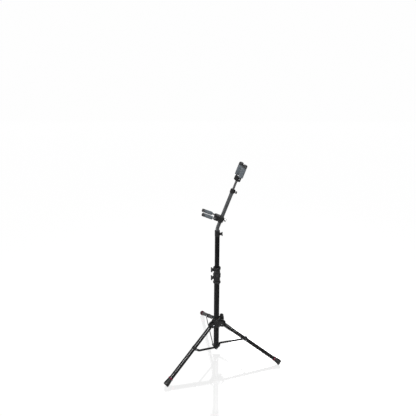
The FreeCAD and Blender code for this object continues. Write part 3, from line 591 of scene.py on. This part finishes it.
def foot_boot(leg):
    """Rubber boot: beaded mouth, three ribs, flared skirt and a sole with tread rings."""
    node = "leg_%d_foot_cap" % leg.number
    matrix, length, radius = axis_frame(solids_of(node)[0], leg.along, leg.tangent)
    neck = 12.9 * MM
    corner = 4.0 * MM
    groove = 0.45 * MM
    profile = [(0, SEAT_DEPTH), (LEG_SEAT, SEAT_DEPTH), (LEG_SEAT, 0),
               (neck - 0.5 * MM, 0), (neck, 0.7 * MM),
               (neck, 2.4 * MM), (neck - 0.6 * MM, 3.0 * MM)]
    flare_start, flare_end = 6.0 * MM, length - corner - 9.0 * MM
    ribs = 3
    for rib in range(ribs):
        base = flare_start + (flare_end - flare_start) * (rib + 0.35) / ribs
        wall = neck + (radius - neck) * (base - flare_start) / (flare_end - flare_start)
        profile += [(wall, base), (wall - groove, base + 0.5 * MM),
                    (wall - groove, base + 1.3 * MM), (wall + 0.15 * MM, base + 1.8 * MM)]
    profile.append((radius, flare_end + 1.0 * MM))
    profile = eased(profile, 0.4 * MM)
    steps = 7
    for step in range(steps + 1):
        turn = math.pi / 2 * step / steps
        profile.append((radius - corner + corner * math.cos(turn),
                        length - corner + corner * math.sin(turn)))
    for ring in (9.0 * MM, 6.0 * MM, 3.0 * MM):
        profile += [(ring + 0.6 * MM, length), (ring + 0.5 * MM, length - 0.6 * MM),
                    (ring - 0.5 * MM, length - 0.6 * MM), (ring - 0.6 * MM, length)]
    profile.append((0, length))
    mesh = bmesh.new()
    turned(mesh, profile, 56)
    make_piece("leg_%d_boot" % leg.number, mesh, matrix, leg.body, "foot_rubber", [node], sharp=50)


def foot_ring(leg):
    """Crimson ring with two rounded beads."""
    node = "leg_%d_foot_ring" % leg.number
    matrix, length, radius = axis_frame(solids_of(node)[0], leg.along, leg.tangent)
    waist = radius - 0.5 * MM
    profile = [(LEG_SEAT, 0), (radius - 0.6 * MM, 0), (radius, 0.5 * MM), (radius, 0.38 * length),
               (waist, 0.45 * length), (waist, 0.55 * length), (radius, 0.62 * length),
               (radius, length - 0.5 * MM), (radius - 0.6 * MM, length), (LEG_SEAT, length)]
    mesh = bmesh.new()
    turned(mesh, eased(profile, 0.4 * MM, closed=True), 56, closed=True)
    make_piece("leg_%d_ring" % leg.number, mesh, matrix, leg.body, "crimson_ring", [node], sharp=50)


# ---- knobs ------------------------------------------------------------------------------------
def bar_direction(points, origin, axis):
    """The way a wing knob's bar points, at right angles to its axis."""
    def off_axis(point):
        return (point - origin) - axis * (point - origin).dot(axis)
    far = max(points, key=lambda p: off_axis(p).length)
    reach = off_axis(far).length
    way = off_axis(far).normalized()
    near_tip = [off_axis(p) for p in points if off_axis(p).dot(way) > 0.9 * reach]
    return sum(near_tip, Vector()).normalized()


def wing_section(share, half, thick, low, high):
    """One rounded section of the wings, at share of the half width from -1 to 1."""
    out = abs(share)
    grip = 0.09 * (0.5 + 0.5 * math.cos(math.pi * 15 * share)) if 0.42 < out < 0.93 else 0.0
    tip = math.sqrt(max(0.0, 1 - max(0.0, (out - 0.86) / 0.14) ** 2 * 0.86))
    width = thick * (0.86 + 0.14 * (1 - out) ** 0.7 - grip) * (0.55 + 0.45 * tip)
    floor = low + (high - low) * 0.16 * out ** 2.5
    roof = high - (high - low) * (0.16 * (1 - out) ** 1.6 + 0.12 * (1 - tip))
    middle, rise = (floor + roof) / 2, (roof - floor) / 2
    points = []
    count = 20
    for step in range(count):
        turn = 2 * math.pi * step / count
        cos, sin = math.cos(turn), math.sin(turn)
        points.append(Vector((share * half, math.copysign(abs(cos) ** 0.6, cos) * width / 2,
                              middle + math.copysign(abs(sin) ** 0.6, sin) * rise)))
    return points


def wing_knob(node, joint, body):
    """Moulded wing knob: turned hub with a recessed end, and bowed wings with finger grips."""
    origin, axis = joint_place(joint), joint_axis(joint)
    points = solids_of(node)[0]
    bar = bar_direction(points, origin, axis)
    matrix, length, half = axis_frame(points, axis, bar)
    across = matrix.col[1].to_3d()
    hub = max(abs((p - matrix.translation).dot(across)) for p in points)
    low = 3.5 * MM
    wide = [p for p in points if abs((p - matrix.translation).dot(bar)) > 0.6 * half]
    thick = 2 * max(abs((p - matrix.translation).dot(across)) for p in wide)
    hub_top = min(length, low + (length - low) * 0.9)
    mesh = bmesh.new()
    profile = [(0, 0), (hub - 0.5 * MM, 0), (hub, 0.8 * MM), (hub, 2.4 * MM),
               (hub - 0.6 * MM, 3.0 * MM),
               (hub - 0.8 * MM, hub_top - 1.4 * MM), (hub - 2.2 * MM, hub_top),
               (hub * 0.52, hub_top), (hub * 0.48, hub_top - 0.9 * MM), (0, hub_top - 0.9 * MM)]
    turned(mesh, eased(profile, 0.6 * MM), 48)
    sections = []
    count = 56
    for index in range(count + 1):
        share = -1 + 2 * index / count
        sections.append([mesh.verts.new(p) for p in wing_section(share, half, thick, low, length)])
    for first, second in zip(sections, sections[1:]):
        for step in range(len(first)):
            after = (step + 1) % len(first)
            mesh.faces.new((first[step], first[after], second[after], second[step]))
    mesh.faces.new(sections[0])
    mesh.faces.new(list(reversed(sections[-1])))
    make_piece(node + "_detail", mesh, matrix, body, "knob_black", [node], sharp=50)


# ---- fasteners --------------------------------------------------------------------------------
def socket_head(points, axis, name, body, node):
    """Button-head bolt with a hexagon socket and a washer face."""
    matrix, length, radius = axis_frame(points, axis, UP)
    head = 3.0 * MM
    shank = 3.0 * MM
    socket = 0.42 * radius
    under = length - head
    profile = [(0, 0), (shank - 0.4 * MM, 0), (shank, 0.4 * MM), (shank, under), (radius, under),
               (radius, under + 0.7 * MM), (radius - 0.35 * MM, under + 0.95 * MM),
               (radius - 0.5 * MM, under + 1.1 * MM)]
    steps = 6
    for step in range(1, steps + 1):
        share = step / steps
        profile.append((radius - 0.5 * MM - (radius - 0.5 * MM - socket * 1.2) * share,
                        under + 1.1 * MM + (head - 1.1 * MM) * math.sin(math.pi / 2 * share)))
    profile += [(socket, length), (socket * 0.98, length - 1.8 * MM), (0, length - 2.2 * MM)]

    def hexagon(reach, height, angle):
        if height < length - 2.0 * MM or reach > socket * 1.01:
            return 0.0
        turn = (angle % (math.pi / 3)) - math.pi / 6
        return reach * (math.cos(math.pi / 6) / math.cos(turn) - 1)
    mesh = bmesh.new()
    turned(mesh, profile, 36, hexagon)
    make_piece(name, mesh, matrix, body, "zinc_steel", [node], sharp=35)


def nearest_leg(points):
    centre = centroid(points)
    return max(LEGS, key=lambda leg: leg.radial.dot(centre))


def pivot_bolts():
    for node, body in (("hub_pivot_bolts", "hub"), ("spider_strut_bolts", "base")):
        for points in solids_of(node):
            centre = centroid(points)
            tangents = sorted(LEGS, key=lambda leg: -leg.tangent.dot(centre))
            leg = nearest_leg(points) if node == "hub_pivot_bolts" else tangents[0]
            socket_head(points, leg.tangent, "%s_%d" % (node, leg.number), body, node)


def crimp_pins(leg):
    """Two small domed pins that hold the moulded end in each leg tube."""
    reach = 36.0 * MM
    for side, word in ((1, "right"), (-1, "left")):
        outward = leg.tangent * side
        base = leg.pivot + leg.along * reach + outward * (LEG_RADIUS - 1.2 * MM)
        matrix = Matrix((leg.along, outward.cross(leg.along), outward)).transposed().to_4x4()
        matrix.translation = base
        profile = [(0, 0), (1.6 * MM, 0), (1.6 * MM, 1.1 * MM), (2.3 * MM, 1.1 * MM),
                   (2.2 * MM, 1.5 * MM), (1.5 * MM, 1.95 * MM), (0.7 * MM, 2.1 * MM),
                   (0, 2.12 * MM)]
        mesh = bmesh.new()
        turned(mesh, profile, 24)
        make_piece("leg_%d_pin_%s" % (leg.number, word), mesh, matrix, leg.body, "zinc_steel")


# ---- clamps -----------------------------------------------------------------------------------
def grip_band(name, body, node, low, high):
    """Fluted band round a clamp flange, between two heights above the clamp's foot."""
    flutes = 30
    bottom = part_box(node)[0].z
    flange = 20.3 * MM
    profile = [(flange - 1.2 * MM, low), (flange + 0.05 * MM, low),
               (flange + 0.45 * MM, low + 0.8 * MM),
               (flange + 0.45 * MM, high - 0.8 * MM), (flange + 0.05 * MM, high),
               (flange - 1.2 * MM, high)]

    def flute(reach, height, angle):
        if reach < flange + 0.3 * MM:
            return 0.0
        return -0.4 * MM * (0.5 + 0.5 * math.cos(flutes * angle)) ** 3
    mesh = bmesh.new()
    turned(mesh, profile, flutes * 8, flute, closed=True)
    matrix = Matrix.Translation((0, 0, bottom))
    make_piece(name, mesh, matrix, body, "moulded_black", sharp=60)


def clamp_details():
    for word, body in (("lower", "base"), ("upper", "middle_mast")):
        node = word + "_clamp_body"
        grip_band(word + "_clamp_foot_band", body, node, 2.0 * MM, 8.0 * MM)


# ---- stage ------------------------------------------------------------------------------------
FLOOR_GLOW = 0.8                       # the white sweep of the studio, to the eye only
WORLD_SEEN = 0.99                      # strength of the surroundings to the camera
WORLD_LIGHT = 0.2                      # and as a light on the stand
CAMERA_PLACE = (-0.0587, -1.5422, 1.343)
CAMERA_LENS = 27.35                    # in mm, on a sensor 36 mm wide
CAMERA_DIP = 16.67                     # degrees below level
CAMERA_TURN = -0.37                    # degrees, positive to the left
CAMERA_ROLL = 0.07                     # degrees


def add_floor():
    """White floor that mirrors the stand faintly and glows to the camera only."""
    mesh = bmesh.new()
    size = 60.0
    sink = 0.4 * MM
    mesh.faces.new([mesh.verts.new((x * size, y * size, -sink))
                    for x, y in ((-1, -1), (1, -1), (1, 1), (-1, 1))])
    data = bpy.data.meshes.new("studio_floor")
    mesh.to_mesh(data)
    mesh.free()
    material = bpy.data.materials.new("studio_floor")
    material.use_nodes = True
    shader = material.node_tree.nodes["Principled BSDF"]
    shader.inputs["Base Color"].default_value = (0.95, 0.95, 0.95, 1)
    shader.inputs["Metallic"].default_value = 0.95
    shader.inputs["Roughness"].default_value = 0.07
    shader.inputs["Emission Color"].default_value = (1, 1, 1, 1)
    glow = material.node_tree.nodes.new("ShaderNodeLightPath").outputs["Is Camera Ray"]
    share = material.node_tree.nodes.new("ShaderNodeMath")
    share.operation = "MULTIPLY"
    share.inputs[1].default_value = FLOOR_GLOW
    material.node_tree.links.new(glow, share.inputs[0])
    material.node_tree.links.new(share.outputs[0], shader.inputs["Emission Strength"])
    data.materials.append(material)
    floor = bpy.data.objects.new("studio_floor", data)
    SCENE.collection.objects.link(floor)


def add_world():
    """White surroundings to the eye, dimmer ones as a light."""
    world = bpy.data.worlds.new("studio")
    world.use_nodes = True
    tree = world.node_tree
    background = tree.nodes["Background"]
    background.inputs["Color"].default_value = (1, 1, 1, 1)
    seen = tree.nodes.new("ShaderNodeLightPath")
    strength = tree.nodes.new("ShaderNodeMapRange")
    strength.inputs["To Min"].default_value = WORLD_LIGHT
    strength.inputs["To Max"].default_value = WORLD_SEEN
    tree.links.new(seen.outputs["Is Camera Ray"], strength.inputs["Value"])
    tree.links.new(strength.outputs["Result"], background.inputs["Strength"])
    SCENE.world = world


def add_light(name, place, aim, width, height, power):
    data = bpy.data.lights.new(name, "AREA")
    data.shape = "RECTANGLE"
    data.size = width
    data.size_y = height
    data.energy = power
    light = bpy.data.objects.new(name, data)
    light.location = place
    light.rotation_euler = (Vector(aim) - Vector(place)).to_track_quat("-Z", "Y").to_euler()
    SCENE.collection.objects.link(light)


def add_lights():
    middle = (0, 0, 0.55)
    add_light("key_softbox", (-2.1, -1.5, 2.3), middle, 0.7, 1.2, 16)
    add_light("overhead_strip", (0.2, -1.3, 2.3), (0, -0.1, 0.2), 3.0, 0.26, 70)
    add_light("left_panel", (-2.2, 0.1, 0.4), (0, 0, 0.4), 0.35, 1.4, 14)
    add_light("back_softbox", (0.9, 2.4, 1.9), middle, 1.2, 1.4, 10)


def add_camera():
    """The photograph's viewpoint: raised, a little left of the mast, looking slightly down."""
    data = bpy.data.cameras.new("camera")
    data.sensor_width = 36.0
    data.lens = CAMERA_LENS
    camera = bpy.data.objects.new("camera", data)
    SCENE.collection.objects.link(camera)
    look = Euler((math.radians(90 - CAMERA_DIP), 0, math.radians(CAMERA_TURN))).to_matrix()
    look = look @ Matrix.Rotation(math.radians(CAMERA_ROLL), 3, "Z")
    camera.rotation_euler = look.to_euler()
    camera.location = CAMERA_PLACE
    SCENE.camera = camera


finish_frame()
padded_prongs()
for leg in LEGS:
    foot_boot(leg)
    foot_ring(leg)
    crimp_pins(leg)
for node, joint, body in (("hub_knob", "hub_knob_turn", "hub_lock"),
                          ("lower_clamp_knob", "lower_clamp_knob_turn", "lower_clamp_lock"),
                          ("upper_clamp_knob", "upper_clamp_knob_turn", "upper_clamp_lock"),
                          ("arm_lock_knob", "arm_lock_knob_turn", "arm_lock")):
    wing_knob(node, joint, body)
pivot_bolts()
clamp_details()
add_floor()
add_world()
add_lights()
add_camera()
SCENE.view_settings.view_transform = "Standard"

bpy.context.view_layer.update()
